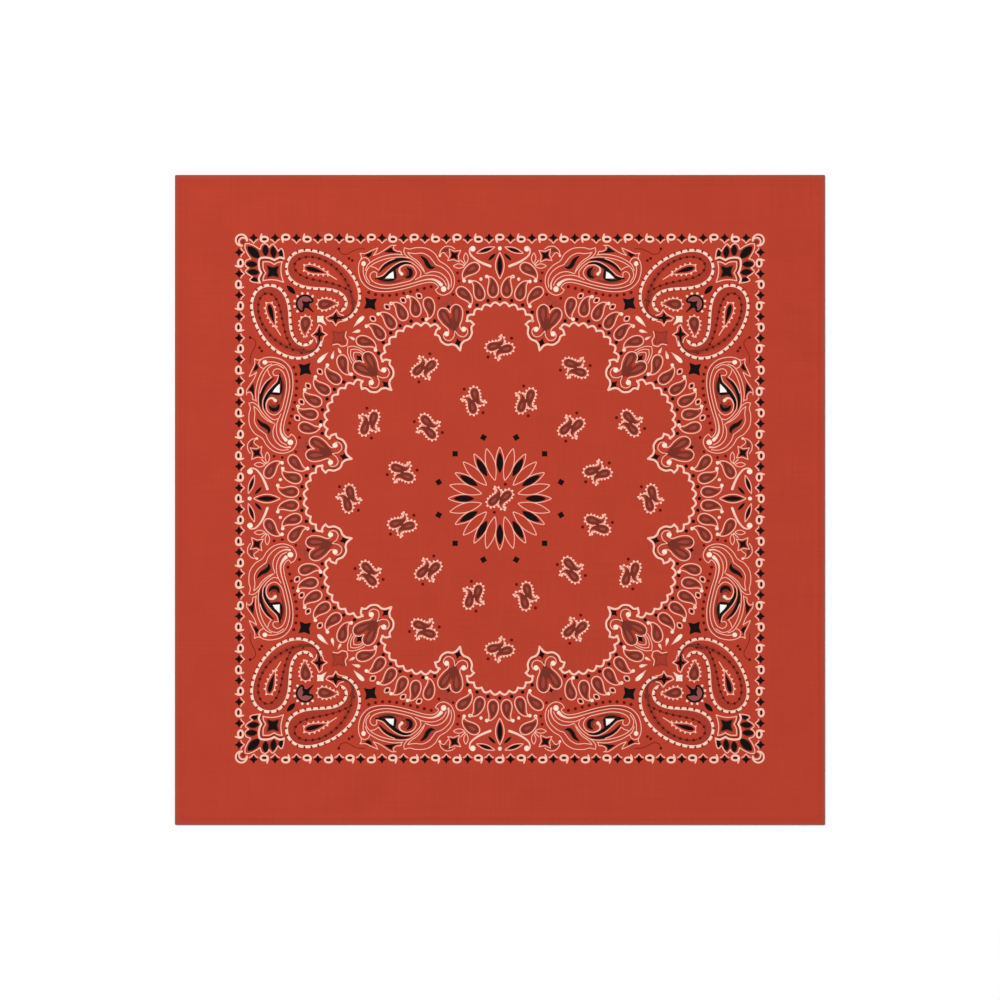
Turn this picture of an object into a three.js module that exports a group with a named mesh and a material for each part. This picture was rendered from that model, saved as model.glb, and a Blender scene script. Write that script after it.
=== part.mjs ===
// A square cotton bandana, laid out flat and face up: one square of cloth whose four edges are turned
// under twice into narrow hems.
//
// Millimetres, +Z up. The origin is the middle of the underside, on the surface that the bandana lies on.
// +X runs to the right of the printed face and +Y to its top edge.
//
// Four kinds of stretch make up the edge, from the middle outwards: the single layer that lies on the
// table, the slope where it climbs onto the hem, the stretch above the hem, and the fold that wraps the
// outer edge and tucks under. The rest of each hem lies below, in a strip of its own.

import * as THREE from "three";

// Driving dimensions
const SIDE = 558.8; // finished side, the usual 22 inch square
const CLOTH = 1.1; // wall that stands for one layer of cloth
const SEAM_GAP = 0.3; // between two pieces that are sewn together
const HEM_WIDTH = 6.4; // finished hem, a quarter inch
const SLOPE_RUN = 6; // width over which the cloth climbs onto its hem
const TUCK = 1.2; // width of the edge fold's lower lip
const CORNER_RADIUS = 3; // outline corner, softened by the bulk of the folds
const INNER_CORNER_RADIUS = 1; // least corner radius of a ring inside the outline
const LAYER_NOTCH = 0.25; // depth of the groove that parts the two turned layers of a hem

// Sizes that follow from them
const HALF_SIDE = SIDE / 2;
const HEM_TOP = 2 * CLOTH + SEAM_GAP; // height of the face above a hem
const FOLD_RADIUS = HEM_TOP / 2; // outside of the edge fold
const SLIT_RADIUS = SEAM_GAP / 2; // inside of the edge fold
const SLOPE_START = HEM_WIDTH + SLOPE_RUN;
const HEM_OUTER = FOLD_RADIUS + TUCK + SEAM_GAP; // inset of a hem strip's outer edge
const HEM_INNER = HEM_WIDTH - SEAM_GAP; // inset of its inner edge, under the start of the slope

// Fineness
const SIDE_STEPS = 14; // steps along each straight side of a ring
const CORNER_STEPS = 4; // steps round each corner of a ring
const SLOPE_STEPS = 5;
const FOLD_STEPS = 8;
const SLIT_STEPS = 4;
const FIELD_INSETS = [30, 75, 130, 190, 240]; // rings of the single layer, from the slope to the middle

const cotton = new THREE.MeshStandardMaterial({ color: 0xba402f, roughness: 0.9, metalness: 0 });
const turnedCotton = new THREE.MeshStandardMaterial({ color: 0xa83a2b, roughness: 0.92, metalness: 0 });

// The points from 0 to 1 in equal steps, both ends included.
function shares(steps) {
  return Array.from({ length: steps + 1 }, (_, i) => i / steps);
}

// One ring of the panel: a square with round corners, inset from the outline, at one height.
function ring({ inset, z }) {
  const half = HALF_SIDE - inset;
  const radius = Math.max(CORNER_RADIUS - inset, INNER_CORNER_RADIUS);
  const straight = half - radius;
  const points = [];
  for (let side = 0; side < 4; side++) {
    const outward = (side * Math.PI) / 2;
    const along = new THREE.Vector2(-Math.sin(outward), Math.cos(outward));
    const out = new THREE.Vector2(Math.cos(outward), Math.sin(outward));
    for (let i = 0; i < SIDE_STEPS; i++) {
      const travel = straight * ((2 * i) / SIDE_STEPS - 1);
      points.push(new THREE.Vector3(out.x * half + along.x * travel, out.y * half + along.y * travel, z));
    }
    for (let i = 0; i < CORNER_STEPS; i++) {
      const turn = outward + (i / CORNER_STEPS) * (Math.PI / 2);
      const centre = out.clone().add(along).multiplyScalar(straight);
      points.push(new THREE.Vector3(centre.x + radius * Math.cos(turn), centre.y + radius * Math.sin(turn), z));
    }
  }
  return points;
}

// The panel's section as { inset, z } from the middle of its face, out and round the edge fold, back
// through the slit under it, and in to the middle of its underside. The slope is a smooth step.
function panelSection() {
  const slope = shares(SLOPE_STEPS).map((t) => ({
    inset: SLOPE_START - SLOPE_RUN * t,
    rise: (HEM_TOP - CLOTH) * THREE.MathUtils.smoothstep(t, 0, 1),
  }));
  const fold = shares(FOLD_STEPS).map((t) => ({
    inset: FOLD_RADIUS * (1 - Math.sin(Math.PI * t)),
    z: FOLD_RADIUS * (1 + Math.cos(Math.PI * t)),
  }));
  const lip = [
    { inset: FOLD_RADIUS + TUCK, z: 0 },
    { inset: FOLD_RADIUS + TUCK, z: CLOTH },
  ];
  const slit = shares(SLIT_STEPS).map((t) => ({
    inset: FOLD_RADIUS - SLIT_RADIUS * Math.sin(Math.PI * t),
    z: FOLD_RADIUS - SLIT_RADIUS * Math.cos(Math.PI * t),
  }));
  const field = [...FIELD_INSETS].reverse();
  return [
    ...field.map((inset) => ({ inset, z: CLOTH })),
    ...slope.map(({ inset, rise }) => ({ inset, z: CLOTH + rise })),
    ...fold,
    ...lip,
    ...slit,
    ...[...slope].reverse().map(({ inset, rise }) => ({ inset, z: rise })),
    ...FIELD_INSETS.map((inset) => ({ inset, z: 0 })),
  ];
}

// A closed surface through rings that have the same number of points, with a fan to the middle of the
// first ring and another to the middle of the last.
function skinThroughRings(rings) {
  const count = rings[0].length;
  const vertices = rings.flat();
  const first = vertices.push(new THREE.Vector3(0, 0, rings[0][0].z)) - 1;
  const last = vertices.push(new THREE.Vector3(0, 0, rings[rings.length - 1][0].z)) - 1;
  const faces = [];
  for (let i = 0; i < count; i++) {
    const next = (i + 1) % count;
    faces.push(first, i, next);
    for (let r = 0; r + 1 < rings.length; r++) {
      const a = r * count;
      const b = a + count;
      faces.push(a + i, b + i, b + next, a + i, b + next, a + next);
    }
    const end = (rings.length - 1) * count;
    faces.push(last, end + next, end + i);
  }
  const geometry = new THREE.BufferGeometry().setFromPoints(vertices);
  geometry.setIndex(faces);
  geometry.computeVertexNormals();
  return geometry;
}

function makePanel() {
  const mesh = new THREE.Mesh(skinThroughRings(panelSection().map(ring)), cotton);
  mesh.name = "cloth_panel";
  return mesh;
}

// A hem strip's section, with x as the inset and y as the height: square where it meets the edge fold,
// and at its inner edge two round folds, one above the other, parted by a notch.
function hemSection() {
  const layer = CLOTH / 4; // radius of each of the two folds at the inner edge
  const section = new THREE.Shape();
  section.moveTo(HEM_OUTER, 0);
  section.lineTo(HEM_INNER - layer, 0);
  section.absarc(HEM_INNER - layer, layer, layer, -Math.PI / 2, 0, false);
  section.lineTo(HEM_INNER - LAYER_NOTCH, CLOTH / 2);
  section.lineTo(HEM_INNER, CLOTH - layer);
  section.absarc(HEM_INNER - layer, CLOTH - layer, layer, 0, Math.PI / 2, false);
  section.lineTo(HEM_OUTER, CLOTH);
  section.closePath();
  return section;
}

// A hem strip along one edge. outward is the angle from +X to the edge it lies under, and endInset is
// how far its ends stop short of the outline.
function makeHem(name, outward, endInset) {
  const length = SIDE - 2 * endInset;
  const geometry = new THREE.ExtrudeGeometry(hemSection(), {
    depth: length,
    steps: SIDE_STEPS,
    curveSegments: 3,
    bevelEnabled: false,
  });
  // The section's x runs inwards, its y upwards, and the extrusion along the edge.
  const inward = new THREE.Vector3(-Math.cos(outward), -Math.sin(outward), 0);
  const up = new THREE.Vector3(0, 0, 1);
  const along = new THREE.Vector3().crossVectors(inward, up);
  const edge = inward.clone().multiplyScalar(-HALF_SIDE).addScaledVector(along, -length / 2);
  geometry.applyMatrix4(new THREE.Matrix4().makeBasis(inward, up, along).setPosition(edge));
  const mesh = new THREE.Mesh(geometry, turnedCotton);
  mesh.name = name;
  return mesh;
}

// The left and right edges are turned first. The top and bottom hems run the full width, and the side
// hems stop between them.
function makeHems() {
  const fullWidth = HEM_OUTER;
  const between = HEM_INNER + SEAM_GAP;
  return [
    makeHem("hem_right", 0, between),
    makeHem("hem_top", Math.PI / 2, fullWidth),
    makeHem("hem_left", Math.PI, between),
    makeHem("hem_bottom", -Math.PI / 2, fullWidth),
  ];
}

const bandana = new THREE.Group();
bandana.name = "bandana";
bandana.add(makePanel(), ...makeHems());

export default bandana;
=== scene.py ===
"""A square cotton bandana, laid out flat and face up, with its paisley print.

Lengths are millimetres until a mesh is made, and metres in Blender. The cloth is a thin shell with four
turned hems and two rows of lockstitch. The print is thin films of ink that follow the cloth: each motif is
a path or a pair of sides given by a formula, drawn once and copied round the square."""

from functools import partial

import bpy
import numpy as np
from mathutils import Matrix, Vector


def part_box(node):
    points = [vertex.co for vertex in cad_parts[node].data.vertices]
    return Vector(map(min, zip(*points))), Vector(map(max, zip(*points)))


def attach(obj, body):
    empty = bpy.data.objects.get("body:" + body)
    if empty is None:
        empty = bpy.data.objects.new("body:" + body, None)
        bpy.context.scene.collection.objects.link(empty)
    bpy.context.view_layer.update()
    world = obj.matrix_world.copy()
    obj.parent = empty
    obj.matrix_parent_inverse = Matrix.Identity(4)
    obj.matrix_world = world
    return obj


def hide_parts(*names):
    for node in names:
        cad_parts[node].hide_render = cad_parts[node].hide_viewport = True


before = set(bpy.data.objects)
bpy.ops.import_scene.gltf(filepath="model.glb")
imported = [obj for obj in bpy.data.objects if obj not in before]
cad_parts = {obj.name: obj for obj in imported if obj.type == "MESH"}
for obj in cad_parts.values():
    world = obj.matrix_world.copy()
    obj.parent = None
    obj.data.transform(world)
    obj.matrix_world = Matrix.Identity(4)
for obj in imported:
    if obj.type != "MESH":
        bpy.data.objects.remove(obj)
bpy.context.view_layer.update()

# Cloth, in mm
MM = 0.001
SIDE = (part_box("cloth_panel")[1][0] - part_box("cloth_panel")[0][0]) / MM
HALF_SIDE = SIDE / 2
CLOTH = 0.28  # one layer
HEM_WIDTH = 6.4
HEM_LOWER, HEM_UPPER = 0.26, 0.60  # heights of the middles of the hem's two turned layers
HEM_GAP = 0.5  # by which a hem stops short of the edge or of the hem that it meets
SLOPE_RUN = 5.0  # width over which the face climbs onto the hem
CORNER_RADIUS = 1.2
FIELD_FACE = 0.75  # height of the face in the single layer, before its ripples
HEM_FACE = 1.12  # height of the face over the hem
EDGE_RADIUS = 0.42  # rounding of the outer edge
STITCH_INSET = 5.1
STITCH_PITCH = 2.9
STITCH_LENGTH = 2.35
STITCH_RINGS, STITCH_SIDES = 7, 6  # points along a stitch and round it
THREAD_RADIUS = 0.17
THREAD_ABOVE = 0.05  # height of the upper thread's middle over the face
THREAD_BELOW = 0.20  # height of the lower thread's middle over the ground
MAP_MARGIN = 1.01  # the UV map is this much larger than the cloth

# Print, in mm
PRINT_MIDDLE = (-0.15, 1.25)  # the print lies a little off the middle of the cloth
HAIR = 0.7  # the thinnest line
FINE = 0.86
BOLD = 1.7
LOADED = 3.5  # a line this wide takes all the white ink it can
TAN_LIFT, BROWN_LIFT, RED_LIFT, BLACK_LIFT, WHITE_LIFT = 0.012, 0.030, 0.042, 0.054, 0.066
LIFT_STEP, LIFT_STEPS = 0.0016, 7  # keeps overlapping strokes of one ink apart


# Turning and copying

def directions(degrees):
    """Unit vectors at angles."""
    angle = np.radians(degrees)
    return np.stack([np.cos(angle), np.sin(angle)], -1)


def turn(degrees):
    """The matrix of a turn, counter-clockwise."""
    x, y = directions(degrees)
    return np.array([[x, -y], [y, x]])


FLIP = np.array([[-1.0, 0.0], [0.0, 1.0]])
ONCE = [np.eye(2)]
QUARTERS = [turn(90 * k) for k in range(4)]
EIGHTHS = QUARTERS + [m @ FLIP for m in QUARTERS]
TWELFTHS = [turn(30 * k) for k in range(12)]
BETWEEN_TWELFTHS = [m @ turn(15) for m in TWELFTHS]


def placed(points, at, heading=0.0):
    """Points turned to a heading and moved to a place."""
    return np.asarray(points, float) @ turn(heading).T + at


# Paths

def smooth(points, steps=7):
    """A Catmull-Rom curve through a few points: on each span, the cubic whose slope at a point is half the
    step between its neighbours."""
    p = np.asarray(points, float)
    p = np.vstack([2 * p[0] - p[1], p, 2 * p[-1] - p[-2]])
    a, b, c, d = p[:-3, None], p[1:-2, None], p[2:-1, None], p[3:, None]
    t = (np.arange(steps) / steps)[None, :, None]
    cubic = b + 0.5 * t * (c - a + t * (2 * a - 5 * b + 4 * c - d + t * (3 * (b - c) + d - a)))
    return np.vstack([cubic.reshape(-1, 2), p[-2]])


def angled(steps, *runs):
    """Smooth curves joined in sharp corners: each run after the first sets off where the last one ended."""
    path = smooth(runs[0], steps)
    for run in runs[1:]:
        path = np.vstack([path[:-1], smooth([path[-1], *run], steps)])
    return path


def arc(centre, radius, start, end, steps=20):
    """Part of a circle between two angles in degrees; radius may be a pair, for an ellipse."""
    return directions(np.linspace(start, end, steps)) * radius + centre


def lengths(path):
    """The distance travelled at each point of a path."""
    return np.concatenate([[0], np.cumsum(np.linalg.norm(np.diff(path, axis=0), axis=1))])


def unit(vectors):
    """Vectors brought to length one."""
    return vectors / np.maximum(np.linalg.norm(vectors, axis=-1, keepdims=True), 1e-6)


def left_of(vectors):
    """Vectors turned a quarter to the left."""
    return np.stack([-vectors[..., 1], vectors[..., 0]], -1)


def normals(path, closed=False):
    """The left normal at each point, lengthened where the path bends so that a stroke keeps its width."""
    if closed:
        before, after = path - np.roll(path, 1, 0), np.roll(path, -1, 0) - path
    else:
        step = np.diff(path, axis=0)
        before, after = np.vstack([step[:1], step]), np.vstack([step, step[-1:]])
    mean = unit(unit(before) + unit(after))
    return left_of(mean) / np.clip((mean * unit(after)).sum(1, keepdims=True), 0.5, 1)


def sampled(path, distances):
    """Points and unit left normals at given distances along a path."""
    travel = lengths(path)

    def point(distance):
        return np.stack([np.interp(distance, travel, path[:, k]) for k in (0, 1)], -1)

    return point(distances), left_of(unit(point(distances + 0.3) - point(distances - 0.3)))


def paced(path, pitch, start=0.5):
    """Even distances along a path, as near to the pitch as a whole number of them allows."""
    total = lengths(path)[-1]
    count = max(int(round(total / pitch)), 1)
    return (np.arange(count) + start) * total / count


def closed_path(path):
    """A closed path with its first point repeated at the end."""
    return np.vstack([path, path[:1]])


# Shapes. Each gives its left and right sides, from one end to the other.

def comma(at, heading, length, half_width, bend=0.0, power=3.0, taper=1.3, steps=22, neck=0.0):
    """A paisley drop with the middle of its bulb at a place. Its spine sets off along the heading and turns
    by bend degrees, as a power of the share u of the length. The half width goes as sqrt(u) (1 - u)^taper,
    and a neck that stays open adds neck u^2."""
    u = (1 - np.cos(np.linspace(2.2 / steps, np.pi - 0.06, steps))) / 2
    widest = 0.5 / (0.5 + taper)
    step = directions(bend * ((u[1:] + u[:-1]) / 2) ** power) * (np.diff(u) * length)[:, None]
    spine = np.vstack([[0, 0], np.cumsum(step, 0)])
    spine = spine - [np.interp(widest, u, spine[:, k]) for k in (0, 1)]
    profile = np.sqrt(u) * (1 - u) ** taper / (np.sqrt(widest) * (1 - widest) ** taper)
    reach = normals(spine) * (half_width * profile + neck * u**2)[:, None]
    return placed(spine + reach, at, heading), placed(spine - reach, at, heading)


def leaf(at, heading, length, half_width, fullness=0.9, steps=14):
    """A pointed leaf with its middle at a place. The half width goes as sin(pi u)^fullness, with u the
    share of the length."""
    u = np.linspace(0.015, 0.985, steps)
    reach = half_width * np.sin(np.pi * u) ** fullness
    left, right = (np.stack([(u - 0.5) * length, side * reach], -1) for side in (1, -1))
    return placed(left, at, heading), placed(right, at, heading)


def outline(sides):
    """The closed path round a shape: out along its right side and back along its left."""
    left, right = sides
    return np.vstack([right, left[::-1]])


def opened(sides):
    """The path round a shape that stays open at its far end, with the shape on its left."""
    left, right = sides
    return np.vstack([left[::-1], right])


def star(radius, waist=0.42, tilt=45.0, steps=5, stretch=(1, 1)):
    """A four-pointed star with hollow sides: between two tips the radius falls to waist and rises again, as
    the distance to a bow between them."""
    share = np.linspace(0, 1, steps, endpoint=False)
    dip = 1 - (1 - waist) * np.sin(np.pi * share) ** 0.75
    degrees = tilt + (np.arange(4)[:, None] + share) * 90
    return directions(degrees.ravel()) * (radius * np.tile(dip, 4))[:, None] * stretch


# Films of ink. A film is a stack of strips with one count of stations: left and right sides, each of shape
# (strips, stations, 2), and whether the strips close on themselves.

def stroke(path, width=FINE, closed=False):
    """A line of ink: the path carried half its width to each side. The width may change along it. Open ends
    are rounded by three more stations whose width follows a half circle."""
    path = np.asarray(path, float)
    half = np.broadcast_to(np.asarray(width, float) / 2, len(path))
    if not closed:
        first, last = unit(path[0] - path[1]), unit(path[-1] - path[-2])
        reach = np.array([0.97, 0.75, 0.4])[:, None]
        path = np.vstack([path[0] + first * half[0] * reach, path, path[-1] + last * half[-1] * reach[::-1]])
        squeeze = np.sqrt(1 - reach[:, 0] ** 2)
        half = np.concatenate([half[0] * squeeze, half, half[-1] * squeeze[::-1]])
    side = normals(path, closed) * half[:, None]
    return (path + side)[None], (path - side)[None], closed


def curve(points, steps=7, width=FINE):
    """A line of ink along a smooth curve."""
    return stroke(smooth(points, steps), width)


def ringed(sides, width=FINE):
    """A line of ink round a shape."""
    return stroke(outline(sides), width, closed=True)


def grown(path, first, last, power=1.0):
    """The width along a path that grows from first to last, as a power of the distance travelled."""
    travel = lengths(path)
    return first + (last - first) * (travel / travel[-1]) ** power


def fill(sides):
    """A film between the two sides of a shape."""
    left, right = sides
    return left[None], right[None], False


def plaque(ring, middle):
    """A film that fills a closed outline, between it and a pin prick at its middle."""
    ring = np.asarray(ring, float)
    inner = (ring - middle) * 0.03 + middle
    return inner[None], ring[None], True


def filled_star(at, radius, waist, **form):
    """A star filled with ink."""
    return plaque(star(radius, waist, **form) + at, at)


def dots(centres, radius):
    """Round dots: eight-sided, each between its upper and lower arcs."""
    centres = np.atleast_2d(centres).astype(float)
    upper = directions([157.5, 112.5, 67.5, 22.5]) * radius
    return centres[:, None] + upper, centres[:, None] + upper * (1, -1), False


def beads(path, pitch, radius):
    """Dots along a path, one for each pitch."""
    return dots(sampled(path, paced(path, pitch))[0], radius)


def dashes(path, pitch, length, width, shift, start):
    """Short strokes that follow a path, one for each pitch, moved sideways by shift."""
    distance = paced(path, pitch, start)[:, None] + np.linspace(0.08, 1, 5) * length
    at, normal = sampled(path, np.minimum(distance, lengths(path)[-1]))
    side = normal * width / 2 * np.array([0.75, 1, 1, 1, 0.75])[:, None]
    at = at + normal * shift
    return at + side, at - side, False


def teeth(path, pitch, height, base, start=0.5):
    """Small points along the right of a path, each from a base to a narrow tip."""
    at, normal = sampled(path, paced(path, pitch, start))
    spine = at[:, None] - normal[:, None] * np.array([0, 0.55, 1])[:, None] * height
    side = left_of(normal)[:, None] * np.array([1, 0.9, 0.5])[:, None] * base / 2
    return spine - side, spine + side, False


def serrated(sides, pitch, height):
    """A line of ink round a shape and small teeth on its outside."""
    return ringed(sides, 0.65), teeth(closed_path(outline(sides)), pitch, height, 1.7)


plates = {}


def lay(plate, symmetry, *films):
    """Adds films to a printing plate, copied by each matrix of a symmetry. A mirrored copy exchanges its
    sides, so that it still faces up."""
    for left, right, closed in films:
        for matrix in symmetry:
            one, other = left @ matrix.T, right @ matrix.T
            if np.linalg.det(matrix) < 0:
                one, other = other, one
            plates.setdefault(plate, []).append((one, other, closed))


# The cloth's form

def wave(along, height, length, phase=0.0):
    """A sine wave of a height, with a period of a length."""
    return height * np.sin(2 * np.pi * along / length + phase)


def bell(distance, width):
    """1 in the middle, falling away on both sides as the exponential of minus the square."""
    return np.exp(-((distance / width) ** 2))


def smooth_step(t):
    """3 t^2 - 2 t^3, which climbs from 0 to 1 with level ends."""
    t = np.clip(t, 0, 1)
    return t * t * (3 - 2 * t)


def quarter_round(past, radius):
    """How far a quarter circle has fallen away at a distance past its start."""
    return radius - np.sqrt(radius**2 - np.maximum(past, 0) ** 2)


def inset_of(x, y):
    """The distance in from the nearest edge of the cloth."""
    return HALF_SIDE - np.maximum(np.abs(x), np.abs(y))


def ripples(x, y):
    """Slow ripples of cloth that was folded once and smoothed out: a few long waves that cross."""
    total = np.zeros_like(x)
    for height, length, heading, phase in (
        (0.060, 148, 22, 0.4),
        (0.050, 104, 118, 2.1),
        (0.038, 83, 71, 1.0),
        (0.026, 61, 160, 4.4),
    ):
        across, up = directions(heading)
        total += wave(x * across + y * up, height, length, phase)
    return total


def face_height(x, y):
    """The height of the face: rippled in the field, up a smooth slope onto the hem, and puckered along the
    stitching, where the thread draws the layers together."""
    inset = inset_of(x, y)
    along = np.where(np.abs(x) > np.abs(y), y, x)
    climb = smooth_step((HEM_WIDTH + SLOPE_RUN - inset) / SLOPE_RUN)
    field = FIELD_FACE + ripples(x, y)
    pucker = (wave(along, 0.07, 13.7) + wave(along, 0.04, 7.9, 1.3)) * bell(inset - STITCH_INSET, 4.5)
    groove = 0.10 * bell(inset - STITCH_INSET, 0.55)
    return field + (HEM_FACE - field) * climb + pucker - groove


# Meshes

def add_object(name, data):
    """A new object in the scene, at the origin."""
    made = bpy.data.objects.new(name, data)
    bpy.context.collection.objects.link(made)
    return made


def make_mesh(name, vertices, faces, material, smooth_faces=True):
    """A mesh object at the origin from millimetre vertices, with a flat map of the cloth as its UV map."""
    mesh = bpy.data.meshes.new(name)
    mesh.from_pydata((vertices * MM).tolist(), [], faces.tolist())
    mesh.materials.append(material)
    mesh.polygons.foreach_set("use_smooth", np.full(len(mesh.polygons), smooth_faces))
    corner = np.empty(len(mesh.loops), int)
    mesh.loops.foreach_get("vertex_index", corner)
    flat = vertices[:, :2] / (SIDE * MAP_MARGIN) + 0.5
    mesh.uv_layers.new(name="cloth_map").data.foreach_set("uv", flat[corner].ravel())
    mesh.validate()
    return add_object(name, mesh)


def raised(plan, height):
    """A list of vertices from points of the plan and their heights."""
    return np.concatenate([plan, height[..., None]], -1).reshape(-1, 3)


def grid_faces(rows, columns, wrap_rows=False, wrap_columns=False):
    """The quads of a grid of rows by columns, joined end to end where asked."""
    row = np.arange(rows if wrap_rows else rows - 1)[:, None]
    column = np.arange(columns if wrap_columns else columns - 1)[None]
    below, right = (row + 1) % rows, (column + 1) % columns
    a, b = row * columns + column, row * columns + right
    c, d = below * columns + right, below * columns + column
    return np.stack([a, b, c, d], -1).reshape(-1, 4)


def film_mesh(name, films, lift, material):
    """A piece of print. Each film is carried from its sides down through the cloth, as far below its back as
    it stands above its face, so a station has four corners: left and right on top, right and left below.
    Its attribute ink_load goes smoothly from 0 on a fine line to 1 on a wide one, and ink_side is 1 on the
    face and 0 on the back."""
    vertices, faces, loads, start = [], [], [], 0
    for index, (left, right, closed) in enumerate(films):
        strips, stations = left.shape[:2]
        plan = np.stack([left, right, right, left], 2) + PRINT_MIDDLE
        top = lift + LIFT_STEP * (index % LIFT_STEPS)
        rise = np.array([top, top, -CLOTH - top, -CLOTH - top])
        vertices.append(raised(plan, face_height(plan[..., 0], plan[..., 1]) + rise))
        load = smooth_step((np.linalg.norm(left - right, axis=-1) - FINE) / (LOADED - FINE))
        loads.append(np.repeat(load.ravel(), 4))
        quads = grid_faces(stations, 4, wrap_rows=closed, wrap_columns=True)
        if not closed:
            last = 4 * (stations - 1)
            quads = np.vstack([quads, [[0, 3, 2, 1], [last, last + 1, last + 2, last + 3]]])
        offset = start + np.arange(strips)[:, None, None] * stations * 4
        faces.append((quads[None, :, ::-1] + offset).reshape(-1, 4))
        start += strips * stations * 4
    film = make_mesh(name, np.vstack(vertices), np.vstack(faces), material, smooth_faces=False)
    loads = np.concatenate(loads)
    sides = np.tile([1.0, 1.0, 0.0, 0.0], len(loads) // 4)
    for attribute, values in (("ink_load", loads), ("ink_side", sides)):
        film.data.attributes.new(attribute, "FLOAT", "POINT").data.foreach_set("value", values)
    return film


def square_stations():
    """Distances from the middle to the edge: fine over the edge, the stitching and the slope, and wide
    over the field."""
    edge = np.array([0, 0.03, 0.1, 0.2, 0.32, 0.5, 0.9, 1.7, 2.6, 3.5])
    stitching = np.array([4.2, 4.6, 4.85, 5.1, 5.35, 5.6, 6.0, 6.6, 7.6])
    slope = np.linspace(8.6, 13.4, 6)
    field = np.linspace(HALF_SIDE, 16, 68)[::-1]
    inset = np.concatenate([edge, stitching, slope, field])
    positive = (HALF_SIDE - inset)[::-1]
    return np.concatenate([-positive[:0:-1], positive])


def round_corner(x, y):
    """Grid points near a corner moved onto a rounded one: the corner's square is mapped to a quarter disc
    by shrinking each coordinate by sqrt(1 - other^2 / 2)."""
    straight = HALF_SIDE - CORNER_RADIUS
    a = np.clip((np.abs(x) - straight) / CORNER_RADIUS, 0, 1)
    b = np.clip((np.abs(y) - straight) / CORNER_RADIUS, 0, 1)
    new_x = np.where(a > 0, straight + CORNER_RADIUS * a * np.sqrt(1 - b * b / 2), np.abs(x))
    new_y = np.where(b > 0, straight + CORNER_RADIUS * b * np.sqrt(1 - a * a / 2), np.abs(y))
    return np.sign(x) * new_x, np.sign(y) * new_y


def make_face(material):
    """The printed face as a closed shell: a grid at the face's height whose outer stations drop round a
    quarter circle, and the same grid moved in by the cloth's thickness along its normals."""
    stations = square_stations()
    x, y = np.meshgrid(stations, stations)
    z = face_height(x, y) - quarter_round(EDGE_RADIUS - inset_of(x, y), EDGE_RADIUS)
    outer = np.stack([*round_corner(x, y), z], -1)
    inner = outer - unit(np.cross(np.gradient(outer, axis=1), np.gradient(outer, axis=0))) * CLOTH
    count = len(stations)
    top = grid_faces(count, count)
    below = top[:, ::-1] + count * count
    index = np.arange(count)
    rim = np.concatenate([
        index[:-1],
        index[:-1] * count + count - 1,
        (count - 1) * count + index[:0:-1],
        index[:0:-1] * count,
    ])
    ahead = np.roll(rim, -1)
    wall = np.stack([rim, rim + count * count, ahead + count * count, ahead], -1)
    vertices = np.concatenate([outer.reshape(-1, 3), inner.reshape(-1, 3)])
    return make_mesh("printed_face", vertices, np.vstack([top, below, wall]), material)


def hem_section():
    """The section of a turned hem as inset and height: from under the edge of the face, round and down,
    inwards as the lower layer, up round the inner fold, and back out as the upper layer. The shell is this
    middle line carried half the cloth's thickness to each side."""
    radius = (HEM_UPPER - HEM_LOWER) / 2
    fold = HEM_WIDTH - radius
    middle = np.vstack([
        arc((0.60, 0.68), 0.42, 180, 270, 6),
        np.column_stack([np.linspace(1.2, fold - 0.3, 8), np.full(8, HEM_LOWER)]),
        arc((fold - 0.1, (HEM_LOWER + HEM_UPPER) / 2), radius, -80, 80, 6),
        np.column_stack([np.linspace(fold - 0.4, 1.3, 7), np.full(7, HEM_UPPER)]),
    ])
    side = normals(middle) * CLOTH / 2
    return np.vstack([middle + side, (middle - side)[::-1]])


def make_hem(name, outward, half_length, material):
    """A turned hem: its section carried along one edge of the outline, with slow waves in the width of the
    fold. outward is the angle of the edge, and the ends are closed."""
    section = hem_section()
    along = np.linspace(-half_length, half_length, 150)[:, None]
    round_off = quarter_round(np.abs(along) - (HALF_SIDE - CORNER_RADIUS), CORNER_RADIUS)
    sway = wave(along, 0.10, 37, outward) + wave(along, 0.05, 11)
    share = smooth_step(section[:, 0] / HEM_WIDTH)
    inset = section[:, 0] + round_off * (1 - share) + sway * share
    plan = np.stack([HALF_SIDE - inset, np.broadcast_to(along, inset.shape)], -1) @ turn(outward).T
    vertices = raised(plan, np.broadcast_to(section[:, 1], inset.shape))
    count = len(section)
    faces = grid_faces(len(along), count, wrap_columns=True)
    lower = np.arange(count // 2 - 1)
    cap = np.stack([lower, lower + 1, count - 2 - lower, count - 1 - lower], -1)
    far = cap[:, ::-1] + (len(along) - 1) * count
    return make_mesh(name, vertices, np.vstack([faces, cap, far]), material)


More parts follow.
